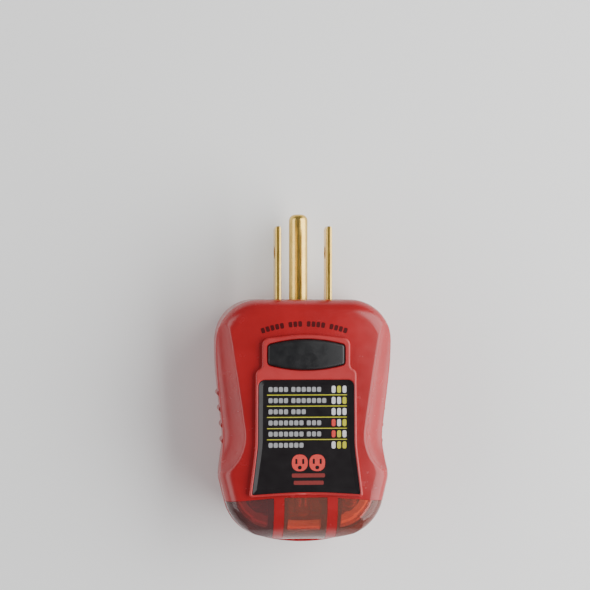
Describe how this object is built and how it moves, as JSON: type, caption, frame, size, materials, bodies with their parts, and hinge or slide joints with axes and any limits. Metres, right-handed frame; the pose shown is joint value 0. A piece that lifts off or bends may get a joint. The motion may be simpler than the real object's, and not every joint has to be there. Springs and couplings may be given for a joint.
{
  "type": "outlet tester plug",
  "caption": "Plug-in wiring tester with flat blades, a round ground pin, lamp windows, a code plate and a push button for the ground-fault test.",
  "frame": {"origin": "middle of the flat rear face that the tester lies on", "axes": "+Y towards the prong tips, +Z out of the code plate, +X to the right of a viewer who sees the code plate with the prongs up"},
  "size_m": [0.0438, 0.0824, 0.0297],
  "materials": {
    "case_red": "semi-gloss moulded",
    "plate_black": "smooth, printed",
    "button_black": "fine matt texture",
    "block_black": "moulded",
    "prong_brass": "drawn, bright",
    "spring_bronze": "rolled",
    "lead_metal": "tinned",
    "solder": "bright",
    "screw_steel": "zinc plated",
    "board_green": "lacquered laminate",
    "lens_red": "clear tinted",
    "lens_amber": "clear tinted",
    "lamp_glass": "clear",
    "resistor_tan": "lacquered",
    "resistor_grey": "cement coated"
  },
  "bodies": {
    "case": {"front_shell": "case_red", "rear_shell": "case_red", "code_plate": "plate_black", "prong_block": "block_black", "hot_blade": "prong_brass", "neutral_blade": "prong_brass", "ground_pin": "prong_brass", "ground_wire": "lead_metal", "circuit_board": "board_green", "leaf_post": "prong_brass", "switch_contact": "prong_brass", "solder_joints": "solder", "case_screws": "screw_steel", "left_lens": "lens_red", "middle_lens": "lens_amber", "right_lens": "lens_amber", "test_resistor": "resistor_grey", "test_resistor_leads": "lead_metal", "left_lamp_glass": "lamp_glass", "left_lamp_electrodes": "lead_metal", "left_resistor": "resistor_tan", "left_resistor_leads": "lead_metal", "middle_lamp_glass": "lamp_glass", "middle_lamp_electrodes": "lead_metal", "middle_resistor": "resistor_tan", "middle_resistor_leads": "lead_metal", "right_lamp_glass": "lamp_glass", "right_lamp_electrodes": "lead_metal", "right_resistor": "resistor_tan", "right_resistor_leads": "lead_metal"},
    "test_button": {"test_button": "button_black"},
    "switch_leaf": {"switch_leaf": "spring_bronze"}
  },
  "joints": [
    {"name": "button_press", "type": "slide", "parent": "case", "child": "test_button", "axis": [0, 0, -1], "range_m": [0, 0.0012], "stiffness_N_per_m": 350, "springref_m": -0.003},
    {"name": "leaf_flex", "type": "hinge", "parent": "case", "child": "switch_leaf", "pos_m": [-0.013, 0.0167, 0.01735], "axis": [0, 1, 0], "range_deg": [0, 5.35]}
  ],
  "couplings": [
    {"joint": "leaf_flex", "follows": "button_press", "rad_per_m": 76.9}
  ]
}
